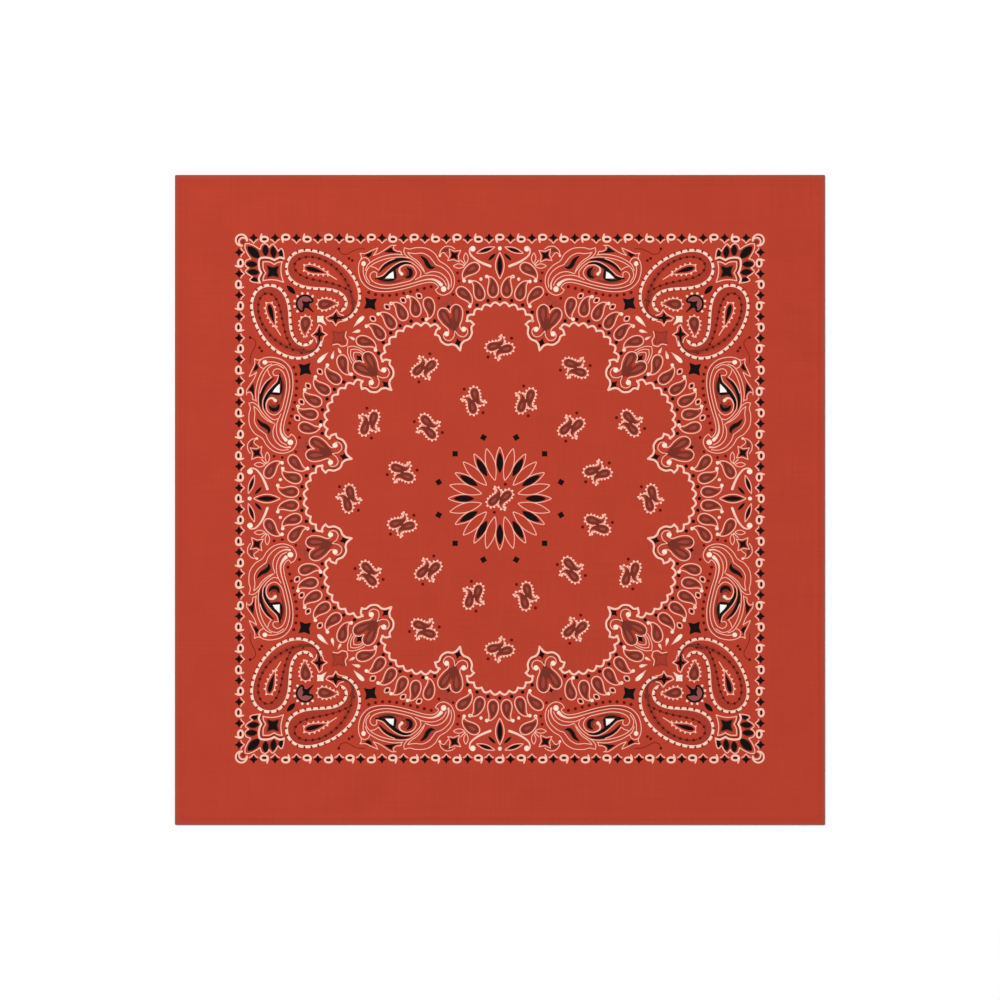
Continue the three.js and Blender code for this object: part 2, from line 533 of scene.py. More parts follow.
def stitch_rows(name, side, material):
    """A row of lockstitch along each edge: each stitch is a spindle whose radius goes as the root of a sine,
    lying on the cloth and sunk in at both ends. Side is 1 above the cloth and -1 below it."""
    reach = HALF_SIDE - STITCH_INSET
    count = int(2 * reach / STITCH_PITCH)
    middles = (np.arange(count) + 0.5) * (2 * reach / count) - reach
    u = np.linspace(0.03, 0.97, STITCH_RINGS)[:, None]
    round_thread = directions(np.arange(STITCH_SIDES) * 360 / STITCH_SIDES + 30)
    radius = THREAD_RADIUS * np.sin(np.pi * u) ** 0.4
    along = np.broadcast_to(
        middles[:, None, None] + (u - 0.5) * STITCH_LENGTH, (count, STITCH_RINGS, STITCH_SIDES)
    )
    across = np.broadcast_to(reach + radius * round_thread[:, 0], along.shape)
    bulge = radius * round_thread[:, 1] - side * THREAD_RADIUS * 0.9 * (2 * u - 1) ** 2
    far = STITCH_SIDES * (STITCH_RINGS - 1)
    tube = grid_faces(STITCH_RINGS, STITCH_SIDES, wrap_columns=True)
    caps = [[0, 1, 2, 3], [0, 3, 4, 5], [far + 2, far + 1, far, far + 3], [far + 3, far, far + 5, far + 4]]
    quads = np.vstack([tube[:, ::-1], caps])
    vertices, faces = [], []
    for quarter, matrix in enumerate(QUARTERS):
        plan = np.stack([across, along], -1) @ matrix.T
        line = np.stack([np.full_like(along, reach), along], -1) @ matrix.T
        above = face_height(line[..., 0], line[..., 1]) + THREAD_ABOVE
        base = above if side > 0 else np.full_like(above, THREAD_BELOW)
        vertices.append(raised(plan, base + bulge))
        start = (quarter * count + np.arange(count))[:, None, None] * STITCH_RINGS * STITCH_SIDES
        faces.append((quads + start).reshape(-1, 4))
    return make_mesh(name, np.vstack(vertices), np.vstack(faces), material)


# The print's motifs. Places are in mm from the print's middle, for the top left of the square. A plate's
# name says its ink and its part of the print, and each of these functions lays films on one plate.

black = partial(lay, "black_print_frame")
brown = partial(lay, "brown_print_frame")
rust = partial(lay, "rust_print")
dark_red = partial(lay, "dark_red_print")

ROW_PITCH = 18.4  # from one small paisley of the border row to the next
ROW_COUNT = 11  # on each side of the middle one
ROW_LINE = 223.75
CORNER_STAR = 195.0  # from the middle lines to the star in the corner


def border_row():
    """The row round the print: small ringed paisleys, turned over by turns, with a black diamond and a
    white chevron between them, and a nested curl at each corner."""
    white = partial(lay, "white_print_border")
    ring = arc((0, 0), (3.15, 2.2), 0, 345, 20)
    tail = smooth([(-2.9, 0.6), (-2.75, 2.6), (-2.3, 4.4)], 4)
    pip = smooth([(-1.7, 1.0), (-0.5, -0.1), (1.5, 0.1)], 4)
    for k in range(-ROW_COUNT, ROW_COUNT + 1):
        way = np.array([1, 1 if k % 2 else -1])
        at = (k * ROW_PITCH, ROW_LINE - 0.9 * way[1])
        white(QUARTERS, stroke(ring * way + at, BOLD, closed=True),
            stroke(tail * way + at, grown(tail, 2.3, 1.2)))
        black(QUARTERS, stroke(pip * way + at, 1.4))
    chevron = angled(4, [(-3.8, -1.7), (-2.2, -2.5), (0, -4.8)], [(2.2, -2.5), (3.8, -1.7)])
    for k in range(-ROW_COUNT - 1, ROW_COUNT + 1):
        at = ((k + 0.5) * ROW_PITCH, ROW_LINE + 0.5)
        black(QUARTERS, filled_star(at, 3.7, 0.52, tilt=0))
        white(QUARTERS, stroke(chevron + at, 0.8))
    white(QUARTERS, stroke(arc((-222.1, 222.1), 4.8, -6, 276, 26), 1.6),
        stroke(arc((-220.7, 220.7), 3.5, 14, 256, 20), 1.3))
    black(QUARTERS, stroke(arc((-221.5, 221.5), 4.3, 66, 204, 14), 0.7))
    brown(QUARTERS, dots((-220.6, 220.6), 1.7))


def corner_star():
    """The star in its notched square, and the fan of dark leaves outside it. One half is drawn, and the
    other is its mirror image across the diagonal."""
    white = partial(lay, "white_print_corners")
    at = (-CORNER_STAR, CORNER_STAR)
    wall = angled(5, [(9.5, 11.2), (5.9, 12.1), (1.1, 9.9)],
                  [(-2.2, 11.5), (-6.2, 12.1), (-9.7, 11.9), (-11.2, 11.2)])
    shade = angled(4, [(8.5, 9.9), (5.8, 10.5), (0.9, 8.2)],
                   [(-2.4, 9.9), (-6.2, 10.5), (-8.8, 10.2), (-9.7, 9.7)])
    square = angled(4, [(-8.5, 8.5), (-5.4, 8.5), (-2.2, 8.1), (1.1, 6.2)], [(4.1, 7.9), (7.8, 8.5)],
                    [(7.1, 4.6), (6.9, 0.6), (7.5, -3.9), (9.1, -9.1)])
    black(EIGHTHS, stroke(shade + at, 0.6))
    black(QUARTERS, filled_star(at, 6.7, 0.5))
    brown(QUARTERS, filled_star(at, 8.0, 0.54))
    fan = (
        ((-23.8, 23.8), (-20.6, 24.0), (-16.0, 22.2), (-11.1, 19.1)),
        ((-11.1, 19.1), (-9.7, 22.8), (-6.7, 24.1), (-4.1, 22.5), (-3.3, 20.8)),
        ((-3.3, 20.8), (-0.5, 23.7), (1.8, 21.9), (4.6, 17.5)),
        ((4.6, 17.5), (7.1, 19.9), (8.8, 17.6), (9.7, 12.4)),
    )
    white(EIGHTHS, stroke(wall + at, BOLD), stroke(square + at),
        *[stroke(smooth(lobe, 5) + at) for lobe in fan])
    leaves = (
        (EIGHTHS, (-201.4, 213.3), 92, 9.6, 2.4),
        (EIGHTHS, (-194.6, 211.8), 95, 9.8, 2.4),
        (EIGHTHS, (-188.1, 210.7), 98, 6.6, 1.7),
        (QUARTERS, (-211.6, 211.6), -45, 14.0, 3.3),
    )
    for ink, more in ((black, 0.0), (brown, 0.7)):
        for symmetry, spot, heading, length, half in leaves:
            ink(symmetry, fill(leaf(spot, heading, length + more, half + more, 0.65)))
    black(QUARTERS, fill(leaf((-179.4, 179.4), -45, 10.0, 2.1, 0.65)))


def corner_paisley():
    """The large paisley on each side of a corner: beads along its outline with dark ticks between them, a
    dotted band inside, a serrated leaf in its bulb, and a dark neck that ends in a star."""
    white = partial(lay, "white_print_corners")
    edge = opened(comma((-163.7, 197.2), -8, 86.5, 14.9, -162, 2.95, 1.8, 44, neck=3.6))
    finial = (
        ((-134.2, 157.4), (-137.6, 158.5), (-140.4, 162.2)),
        ((-140.4, 162.2), (-143.6, 158.4), (-149.5, 155.4)),
        ((-149.5, 155.4), (-147.3, 152.8), (-143.6, 152.2), (-140.9, 148.4)),
        ((-140.9, 148.4), (-138.6, 151.4), (-132.6, 152.8)),
    )
    white(EIGHTHS, stroke(edge, 0.7), dashes(edge, 5.85, 4.7, 2.4, -0.85, 0.02),
        *serrated(comma((-161.8, 197.2), -13, 23.0, 3.7, -8, 2.0, 1.2), 4.3, 1.8),
        curve([(-148.6, 193.6), (-144.6, 191.0), (-140.4, 188.4)], 4),
        *[curve(side, 5) for side in finial])
    band = outline(comma((-159.8, 197.8), -1, 55.5, 9.4, -52, 1.2, 1.15, 34))
    dark_red(EIGHTHS, teeth(edge, 5.85, 3.0, 1.0, 0.92), beads(closed_path(band), 5.8, 1.3))
    lay("tan_print", EIGHTHS, ringed(comma((-161.6, 197.4), -3, 66.0, 11.8, -66, 1.4, 1.3, 34), 5.4))
    neck = smooth([(-128.4, 178.0), (-126.6, 170.0), (-126.4, 162.4), (-129.0, 157.2), (-136.0, 155.0)], 6)
    brown(EIGHTHS, stroke(band, 1.1, closed=True), stroke(neck, grown(neck, 0.8, 3.4, 0.6)))
    black(EIGHTHS, fill(comma((-161.6, 197.1), -13, 16.5, 1.9, -8, 2.0, 1.1)),
        filled_star((-141.2, 155.2), 5.0, 0.36, tilt=0, stretch=(1.35, 1)))


def corner_fillings():
    """What lies in the crook of the two corner paisleys and between them and the frame."""
    white = partial(lay, "white_print_corners")
    spot = (-151.2, 166.9)
    white(EIGHTHS, *serrated(comma(spot, 10, 18.6, 4.9, -30, 3.0, 1.2), 3.4, 1.6))
    brown(EIGHTHS, fill(comma(spot, 9, 13.8, 3.8, -12, 3.0, 0.9)))
    rust(EIGHTHS, fill(comma(spot, 9, 6.0, 1.6, 0, 3.0, 1.0)))
    curl = np.array([-167.4, 167.4])
    hook = np.vstack([[(2.2, 1.2), (5.6, 1.4)], arc((0, 0), 7.2, 22, 248, 26), [(-1.4, -5.6), (-1.2, -2.2)]])
    leg = [curl + (2.4, -2.4), curl + (7.0, -7.0)]
    black(QUARTERS, stroke(smooth(hook, 2) + curl, 1.6), stroke(leg, [2.6, 0.8]),
        filled_star(curl + (1.0, -1.0), 5.2, 0.5))
    lay("pink_print", QUARTERS, plaque(arc(curl, 6.6, 6, 264, 22), curl + (0.6, -0.6)))
    white(QUARTERS, dots(arc(curl, 9.2, 45, 225, 7), 1.15),
        filled_star((-154.2, 154.2), 3.9, 0.66), stroke([(-153.4, 153.4), (-149.2, 149.2)], [3.6, 0.5]))
    for spot, heading, length, half in (
        ((-119.4, 154.1), 223, 13.5, 1.75),
        ((-121.9, 143.9), 191, 7.8, 1.3),
        ((-126.2, 137.4), 150, 6.2, 1.1),
    ):
        white(EIGHTHS, fill(comma(spot, heading, length, half, 10, 2.0, 1.3, 12)))
    black(EIGHTHS, filled_star((-111.2, 167.5), 7.2, 0.52, tilt=39))
    rosette = np.array([-138.4, 138.4])
    edge = smooth([(6.3, 5.1), (5.7, 0.8), (7.6, -2.6), (6.8, -6.8)], 5)
    white(EIGHTHS, stroke(edge + rosette))
    lay("tan_print", QUARTERS, filled_star(rosette, 9.2, 0.58, steps=6))
    brown(QUARTERS, stroke(star(7.2, 0.5, steps=6) + rosette, 0.5, closed=True))
    for k in range(3):
        leg = smooth([(0, 0), (4.6, 0.4), (9.2, -0.9), (14.4 - 1.5 * k, -3.4)], 4) * (1 - 0.17 * k)
        white(EIGHTHS, stroke(leg + (-130.5 + 2.5 * k, 130.5 - 2.5 * k), HAIR))
    tendril = ((-138.2, 213.8), (-136.4, 210.8), (-132.4, 209.8), (-127.6, 212.0), (-122.0, 214.4),
               (-116.0, 214.6))
    dark_red(EIGHTHS, curve(tendril, 5, 0.5), dots([(-138.4, 214.6), (-126.8, 204.6), (-129.6, 206.4)], 1.3))


def wave_paisley():
    """The long paisley on each half of a side: nested lines round an eye, whose lids cross and run on into
    a wing and a tail, and the tail curls round a white dot. Dark crescents shade it."""
    white = partial(lay, "white_print_waves")
    lines = (
        ((-111.8, 203.4), (-113.4, 206.0), (-117.0, 207.0), (-120.6, 203.4), (-121.4, 195.4), (-118.4, 186.0),
         (-110.4, 179.4), (-97.4, 177.8), (-82.4, 180.3), (-66.0, 185.0), (-57.4, 185.6), (-52.8, 182.0),
         (-55.4, 179.4)),
        ((-55.4, 179.4), (-52.8, 176.2), (-47.8, 174.8), (-41.8, 178.2), (-39.0, 185.6), (-40.4, 193.6),
         (-45.6, 200.2), (-51.8, 204.2), (-55.8, 210.4), (-63.0, 215.0), (-72.0, 215.6), (-77.4, 214.4),
         (-82.0, 215.6)),
        ((-115.6, 196.0), (-112.6, 201.8), (-103.4, 207.2), (-92.0, 209.9), (-83.4, 209.4)),
        ((-112.0, 185.8), (-115.0, 191.4), (-113.2, 197.8), (-106.2, 203.0), (-96.0, 206.4), (-84.6, 207.6),
         (-76.8, 206.2), (-70.2, 201.2), (-66.2, 196.4), (-64.1, 193.2)),
        ((-110.4, 199.4), (-107.2, 198.4), (-104.3, 196.4)),
        ((-104.3, 196.4), (-101.0, 200.4), (-96.6, 203.6), (-90.6, 206.2)),
        ((-105.6, 190.2), (-100.8, 191.8), (-96.0, 196.2), (-90.6, 200.6), (-84.0, 203.6), (-77.0, 203.2),
         (-71.2, 199.2), (-67.9, 194.4), (-68.6, 190.4)),
        ((-72.6, 188.2), (-66.0, 191.2), (-59.4, 192.0), (-53.6, 191.0), (-48.6, 187.8), (-46.0, 183.2)),
        ((-79.2, 211.4), (-73.0, 210.5), (-66.6, 210.9), (-61.0, 208.2), (-57.2, 203.8), (-55.2, 201.0)),
        ((-55.2, 201.0), (-49.4, 198.6), (-44.0, 193.6), (-41.6, 187.6), (-42.0, 181.8)),
        ((-79.2, 211.4), (-76.2, 207.8), (-71.2, 204.4), (-66.8, 199.2), (-64.1, 193.2)),
        ((-82.0, 215.6), (-82.4, 212.0), (-79.8, 208.2), (-75.4, 205.4)),
    )
    white(EIGHTHS, *[curve(points, 6, HAIR) for points in lines])
    lower = smooth([(-117.3, 200.0), (-117.2, 193.4), (-114.0, 185.8), (-107.6, 182.0), (-97.6, 180.5),
                    (-86.4, 182.1), (-75.6, 184.8), (-65.2, 187.8), (-58.2, 188.4), (-53.4, 186.5),
                    (-50.4, 183.8)])
    lid = smooth([(-105.9, 190.6), (-106.0, 194.0), (-109.0, 194.9), (-111.6, 191.6), (-109.4, 186.9),
                  (-103.0, 184.0), (-94.4, 183.4), (-84.0, 185.4), (-75.8, 188.0), (-71.8, 193.4),
                  (-74.4, 199.0), (-80.2, 200.9), (-85.4, 198.8), (-86.2, 195.4), (-84.2, 192.9)])
    tail = smooth([(-64.1, 193.2), (-57.8, 195.0), (-51.4, 193.9), (-46.4, 189.8), (-44.0, 184.4),
                   (-44.2, 180.4)], 6)
    for path, last, power in ((lower, 3.0, 9), (lid, 2.7, 14), (tail, 1.7, 5)):
        white(EIGHTHS, stroke(path, grown(path, HAIR, last, power)))
    flames = (
        ((-119.4, 205.8), (-119.0, 208.4), (-120.2, 210.8)),
        ((-120.2, 210.8), (-115.4, 210.7), (-110.6, 213.0), (-104.9, 215.4)),
        ((-104.9, 215.4), (-106.4, 212.2), (-108.7, 209.0)),
        ((-108.7, 209.0), (-103.0, 211.2), (-96.2, 215.7), (-93.0, 217.5), (-89.2, 217.6)),
        ((-90.8, 217.2), (-91.4, 214.8), (-88.6, 212.6), (-85.2, 212.3), (-84.4, 209.6)),
    )
    white(EIGHTHS, dots((-117.1, 201.9), 2.1), dots((-48.3, 180.0), 2.5),
        *[curve(side, 5, HAIR) for side in flames])
    lay("black_print_waves", EIGHTHS,
        plaque([(-116.4, 209.3), (-112.8, 207.2), (-110.6, 209.0), (-109.6, 212.2)], (-112.4, 209.4)),
        plaque([(-99.4, 211.8), (-92.6, 211.2), (-86.8, 210.9), (-91.8, 213.0), (-93.2, 216.0)],
               (-93.6, 212.4)))
    shades = (
        ("black", 2.4, ((-103.7, 194.4), (-98.6, 200.0), (-92.4, 203.7), (-84.8, 205.6), (-77.6, 205.0))),
        ("black", 3.0, ((-107.0, 188.9), (-99.6, 190.0), (-94.6, 194.4), (-89.0, 199.2), (-82.6, 202.2),
                        (-76.4, 202.0))),
        ("black", 2.2, ((-104.0, 188.2), (-95.4, 187.5), (-90.4, 189.6), (-90.0, 194.4), (-90.8, 198.0))),
        ("black", 3.2, ((-79.8, 198.4), (-76.8, 195.8), (-77.0, 191.6), (-80.8, 189.6))),
        ("black", 3.2, ((-67.8, 208.2), (-64.2, 205.0), (-62.0, 201.0), (-59.4, 198.6), (-56.2, 198.8))),
        ("rust", 2.4, ((-87.2, 199.4), (-88.8, 195.0), (-86.6, 190.6), (-81.8, 188.6))),
        ("rust", 2.2, ((-60.8, 206.0), (-58.4, 202.4), (-57.0, 199.8), (-50.4, 195.8))),
        ("brown", 1.6, ((-82.6, 197.4), (-79.4, 194.8), (-80.6, 191.4), (-84.4, 190.2))),
        ("brown", 1.6, ((-104.6, 187.0), (-97.0, 185.8), (-89.6, 186.4), (-83.0, 188.2))),
        ("brown", 0.7, ((-119.2, 197.0), (-118.2, 190.4), (-114.0, 184.2), (-106.4, 180.4), (-97.4, 179.2),
                        (-85.6, 180.8), (-72.0, 184.0), (-60.0, 186.6))),
    )
    for ink, width, points in shades:
        path = smooth(points, 6)
        profile = np.sin(np.pi * np.linspace(0.06, 0.94, len(path))) ** 0.8
        lay(f"{ink}_print_waves", EIGHTHS, stroke(path, width * profile))
        if ink == "black":
            lay("brown_print_waves", EIGHTHS, stroke(path, (width + 1.3) * profile))
    lay("bright_print", EIGHTHS,
        plaque([(-98.6, 189.3), (-91.0, 189.2), (-91.6, 195.2), (-94.4, 193.4)], (-93.2, 191.4)))
    hanging = smooth([(-115.6, 178.0), (-106.0, 175.2), (-94.0, 174.6), (-80.0, 177.0), (-56.0, 182.8)], 6)
    dark_red(EIGHTHS, beads(hanging, 6.05, 1.45))


GARLAND = (  # place and heading of each drop's bulb
    ((-117.4, 135.3), -9),
    ((-103.3, 141.8), 124),
    ((-93.8, 151.2), 119),
    ((-83.8, 158.9), 111),
    ((-72.4, 162.4), 95),
    ((-61.0, 166.9), -72),
    ((-31.8, 176.8), -36),
    ((-17.6, 176.4), 102),
    ((-5.8, 179.0), 88),
    ((-23.2, 197.8), 208),
)


def garland():
    """The drops that hang round the frame: each has an outline that closes in a tail bent over to a white
    tip, a brown filling, and a paler heart. Small ringed diamonds lie between their tips."""
    white = partial(lay, "white_print_frame")
    for at, heading in GARLAND:
        bend = 88 if heading > 0 else -88
        sides = comma(at, heading, 20.6, 4.75, bend, 3.5, 1.15, 24)
        tip = (sides[0][-6:] + sides[1][-6:]) / 2
        white(EIGHTHS, ringed(sides), stroke(tip, [1, 1.6, 2.3, 2.8, 3, 3]))
        brown(EIGHTHS, fill(comma(at, heading, 15.4, 3.5, bend * 0.3, 3.0, 1.1)))
        rust(EIGHTHS, fill(comma(at, heading, 7.2, 1.6, 0, 3.0, 1.0)))
    for at in ((-109.1, 154.6), (-96.9, 164.8), (-83.1, 170.4), (-69.4, 174.2)):
        white(EIGHTHS, ringed(leaf(at, -38, 5.8, 2.1, 0.7)))
        black(EIGHTHS, dots(at, 1.25))
    white(EIGHTHS, dots((-16.2, 188.6), 1.45))


BAY_MIDDLE = 131.2  # from the print's middle to the middle of a scallop bay's arc
BAY_RADIUS = 35.0
BAY_REACH = 53.0  # degrees on each side of the bay's own axis
BAY_WAVELETS = 8


def scalloped_frame():
    """The thick line round the field: twelve bays of small pointed waves, whose distance from the bay's
    middle is its radius and a rectified sine, and a row of dark beads outside them."""
    white = partial(lay, "white_print_frame")
    degrees = np.linspace(-BAY_REACH, BAY_REACH, BAY_WAVELETS * 8 + 1)
    wavelets = np.abs(np.sin(np.pi * BAY_WAVELETS * (degrees + BAY_REACH) / (2 * BAY_REACH)))
    bay = directions(90 - degrees) * (BAY_RADIUS + 2.6 * wavelets**1.15)[:, None] + (0, BAY_MIDDLE)
    white(TWELFTHS, stroke(bay, BOLD))
    black(TWELFTHS, dots(arc((0, BAY_MIDDLE), 40.2, 90 - 43.8, 90 + 43.8, 7), 1.6))


def fleur():
    """The flower at each cusp between two bays, pointing to the middle: two lobes, a curl with a white dot
    on each side, and a calyx that joins the bays. Its right half is drawn, pointing down."""
    white = partial(lay, "white_print_frame")
    both = BETWEEN_TWELFTHS + [m @ FLIP for m in BETWEEN_TWELFTHS]
    calyx = np.vstack([
        smooth([(0, 131.8), (2.4, 136.6), (5.2, 138.7)], 4)[:-1],
        smooth([(5.2, 138.7), (10.0, 139.6), (13.6, 143.6), (14.4, 148.4), (17.2, 150.5)], 6)[:-1],
        smooth([(17.2, 150.5), (15.0, 153.9), (11.8, 154.9)], 4),
    ])
    lobe = ((0, 165.2), (2.0, 169.4), (6.2, 171.0), (9.8, 168.6), (10.9, 163.8), (8.6, 157.4), (5.4, 152.6),
            (5.3, 149.2))
    curl = ((0.1, 149.0), (2.0, 144.8), (5.6, 142.4), (9.2, 143.6), (10.7, 146.8), (9.8, 149.4))
    white(both, stroke(calyx, BOLD), curve(lobe), curve(curl, width=HAIR), dots((7.6, 148.6), 2.3))
    black(both, curve([(5.8, 140.2), (10.0, 141.2), (12.2, 144.4), (12.9, 148.6), (14.8, 150.6)], 5, 0.5))
    heart = (5.3, 163.6)
    brown(both, fill(comma(heart, -107, 21.0, 3.6, 10, 2, 0.9)))
    brown(BETWEEN_TWELFTHS, fill(leaf((0, 153.2), 90, 17.0, 2.1)))
    rust(both, fill(comma(heart, -107, 11.4, 1.6, 0, 2, 1.0)))
    black(BETWEEN_TWELFTHS,
        filled_star((0, 138.8), 3.2, 0.56, tilt=90, stretch=(0.9, 1.25)),
        filled_star((0, 170.6), 2.2, 0.55, tilt=90))
    diagonal = [m @ turn(45) for m in QUARTERS]
    black(diagonal, filled_star((0, 170.2), 4.0, 0.5, tilt=0))
    for spot, heading in (((-46.0, 170.4), 60), ((-42.2, 170.8), 120), ((-48.6, 167.0), 10)):
        rust(EIGHTHS, ringed(leaf(spot, heading, 8.0, 1.4), 0.8))


def axis_spray():
    """The group in the middle of each side: an upright almond with its dot, slanting leaves, long curved
    strokes, and a small flower, star and crescent on each side."""
    white = partial(lay, "white_print_axis")
    at = (0, 200.2)
    white(QUARTERS, ringed(leaf(at, 90, 23.0, 3.7), 0.8), dots((0, 215.0), 1.8))
    black(QUARTERS, fill(leaf(at, 90, 17.0, 2.1, 0.7)))
    at = (-12.2, 213.5)
    black(EIGHTHS, fill(leaf(at, 18.5, 10.8, 1.3, 0.7)), fill(leaf((-6.8, 207.6), 43, 8.6, 1.2, 0.7)))
    lash = smooth([(-22.6, 216.6), (-25.8, 214.6), (-25.2, 209.8), (-20.7, 205.6), (-15.0, 202.4),
                   (-8.2, 199.7)])
    flower = (-39.2, 208.9)
    white(EIGHTHS,
        ringed(leaf(at, 18.5, 16.8, 2.1), HAIR),
        stroke(lash, grown(lash, 0.9, 2.2, 0.8)),
        dots((-23.2, 214.7), 2.5),
        ringed(leaf((-29.1, 206.6), 93, 9.0, 1.9, 0.8), HAIR),
        ringed(leaf((-35.2, 199.8), 178, 9.4, 1.9, 0.8), HAIR),
        stroke([(-30.8, 202.0), (-33.6, 204.8)]),
        dots((-30.2, 201.2), 0.9),
        stroke(star(7.0, 0.52, tilt=38) + flower, HAIR, closed=True),
        curve([(-51.6, 209.2), (-50.8, 213.4), (-46.8, 216.7), (-42.0, 216.5), (-38.6, 214.4)], 6, HAIR),
        curve([(-51.4, 209.6), (-48.2, 211.4), (-44.6, 207.4)], 6, HAIR),
        dots((-51.6, 208.8), 1.2))
    black(EIGHTHS, filled_star(flower, 4.4, 0.5, tilt=38))
    moon = smooth([(-49.6, 211.8), (-47.2, 213.4), (-43.0, 213.8), (-40.4, 213.6)], 5)
    brown(EIGHTHS, stroke(moon, 2.8 * np.sin(np.pi * np.linspace(0.1, 0.9, len(moon)))))
    dark_red(EIGHTHS, dots([(-36.4, 194.0), (-35.2, 187.0), (-40.2, 175.4), (-52.4, 172.2)], 1.3))


SPRIG_RINGS = ((129.7, 0, 0), (86.9, 15, 75))  # distance from the middle, first place, extra turn


def field_sprigs():
    """The two-paisley sprigs in rings on the field: two commas nested head to tail, with teeth along their
    outlines except where they touch, and a dark dot at each end. One more lies in the medallion."""
    white = partial(lay, "white_print_field")
    places = [((0.0, 0.2), 30)]
    for distance, first, extra in SPRIG_RINGS:
        places += [(turn(first + 30 * k) @ (0, distance), first + 30 * k + extra) for k in range(12)]
    for at, heading in places:
        for way in (heading, heading + 180):
            spot = placed((-6.2, 0.9), at, way)
            edge = outline(comma(spot, way + 12, 22.0, 4.1, 192, 3.6, 1.45, 30))
            free = np.vstack([edge[18:], edge[:12]])
            line = np.vstack([edge[17:], edge[:14]])
            white(ONCE, stroke(line, 0.6), teeth(free, 2.75, 1.6, 1.9))
            lay("brown_print_field", ONCE, fill(comma(spot, way + 12, 16.4, 3.2, 60, 3.0, 1.5)))
            lay("rust_print_field", ONCE, fill(comma(spot, way + 14, 6.4, 1.2, 0, 2.4, 1.0)))
            dark_red(ONCE, dots(placed((10.1, 8.1), at, way), 1.4))
        lay("brown_print_field", ONCE, fill(leaf(at, heading - 30, 5.4, 1.5)))


def medallion():
    """The flower of pointed petals in the middle, every other one with a dark core, and the ring of small
    diamonds round it."""
    white = partial(lay, "white_print_field")
    white(BETWEEN_TWELFTHS, ringed(leaf((0, 30.3), 90, 28.6, 4.0, 0.85, 20), HAIR))
    petal = outline(leaf((0, 30.9), 90, 27.0, 3.6, 0.8, 24))
    hidden = 28.6  # the nearer part of these petals lies under the others
    shown = petal[petal[:, 1] > hidden]
    shown = shown[np.argsort(np.arctan2(shown[:, 0], shown[:, 1] - hidden))]
    white(TWELFTHS, stroke(shown, HAIR))
    lay("black_print_field", TWELFTHS, fill(leaf((0, 30.8), 90, 17.8, 2.8, 0.75)))
    lay("black_print_field", BETWEEN_TWELFTHS, filled_star((0, 54.4), 3.2, 0.68, tilt=90))


# Materials. Lengths in node trees are metres.

YARNS_PER_METRE = 2300
YARN_RELIEF = 0.00016  # height of the weave's bump
YARN_DRIFT = 0.0009  # how far the yarns wander
PAINTED_SHADE_WIDTH = 0.0036  # of the painted shade along the folded edge
TONE_RANGE = 0.35  # how far from the middle tone the weave reaches both colours
STRIKE_THROUGH = 0.5  # how strongly the print shows on the back
RED = (191, 63, 40)
DEEP_RED = (175, 53, 34)
# the greyer, darker colour of the painted shade along the folded edge
PAINTED_FOLD_SHADE = (126, 84, 72)
BLACKENED = (44, 15, 10)
THIN_WHITE = (252, 187, 167)
INKS = (  # ink, its colour and shade, relief, the colour that shows between its yarns, coverage, and lift
    ("white", (255, 238, 220), (252, 228, 209), 0.35, RED, 0.95, WHITE_LIFT),
    ("bright", (255, 252, 246), (250, 246, 240), 0.35, (255, 240, 230), 0.98, WHITE_LIFT),
    ("black", (20, 10, 8), (12, 6, 5), 0.35, BLACKENED, 0.95, BLACK_LIFT),
    ("brown", (124, 51, 38), (104, 41, 30), 0.4, RED, 0.93, BROWN_LIFT),
    ("rust", (160, 72, 60), (146, 62, 52), 0.4, RED, 0.93, RED_LIFT),
    ("dark", (106, 12, 7), (88, 8, 5), 0.4, (140, 24, 14), 0.95, RED_LIFT),
    ("tan", (170, 59, 43), (160, 53, 37), 0.45, RED, 0.93, TAN_LIFT),
    ("pink", (154, 84, 80), (140, 74, 70), 0.4, RED, 0.93, BROWN_LIFT),
)


def linear(srgb):
    """Linear colour, opaque, from 8-bit sRGB values."""
    c = np.array(srgb) / 255
    return (*np.where(c <= 0.04045, c / 12.92, ((c + 0.055) / 1.055) ** 2.4), 1.0)


def feed(tree, target, inputs):
    """Sets a node's inputs to values, or links other nodes' outputs to them."""
    for key, value in inputs.items():
        if isinstance(value, bpy.types.NodeSocket):
            tree.links.new(value, target.inputs[key])
        else:
            target.inputs[key].default_value = value


def node(tree, kind, x, y, inputs, **settings):
    """A node at a place in its tree, with its settings and its inputs. Gives its outputs."""
    made = tree.nodes.new(kind)
    made.location = (x, y)
    for key, value in settings.items():
        setattr(made, key, value)
    feed(tree, made, inputs)
    return made.outputs


def maths(tree, operation, x, y, *values):
    """A Math node."""
    return node(tree, "ShaderNodeMath", x, y, dict(enumerate(values)), operation=operation)[0]


def mixed(tree, x, y, share, first, second, kind="RGBA"):
    """A mix of two colours, or of two numbers where the kind is FLOAT."""
    inputs = {"Factor": share, "A": first, "B": second}
    return node(tree, "ShaderNodeMix", x, y, inputs, data_type=kind)["Result"]


def noise(tree, x, y, vector, scale, detail):
    """A noise texture."""
    return node(tree, "ShaderNodeTexNoise", x, y, {"Vector": vector, "Scale": scale, "Detail": detail})


def share_of(tree, x, y, value, low, high):
    """How far a value lies from low to high, kept between 0 and 1."""
    inputs = {"Value": value, "From Min": low, "From Max": high}
    return node(tree, "ShaderNodeMapRange", x, y, inputs)["Result"]


def group_tree(name, numbers, results):
    """A node group with a vector input Position, inputs for numbers with their defaults, and results. Gives
    its tree and the outputs of its input node."""
    tree = bpy.data.node_groups.new(name, "ShaderNodeTree")
    tree.interface.new_socket("Position", in_out="INPUT", socket_type="NodeSocketVector")
    for label, value in numbers.items():
        socket = tree.interface.new_socket(label, in_out="INPUT", socket_type="NodeSocketFloat")
        socket.default_value = value
    for label in results:
        tree.interface.new_socket(label, in_out="OUTPUT", socket_type="NodeSocketFloat")
    return tree, node(tree, "NodeGroupInput", -1500, 0, {})


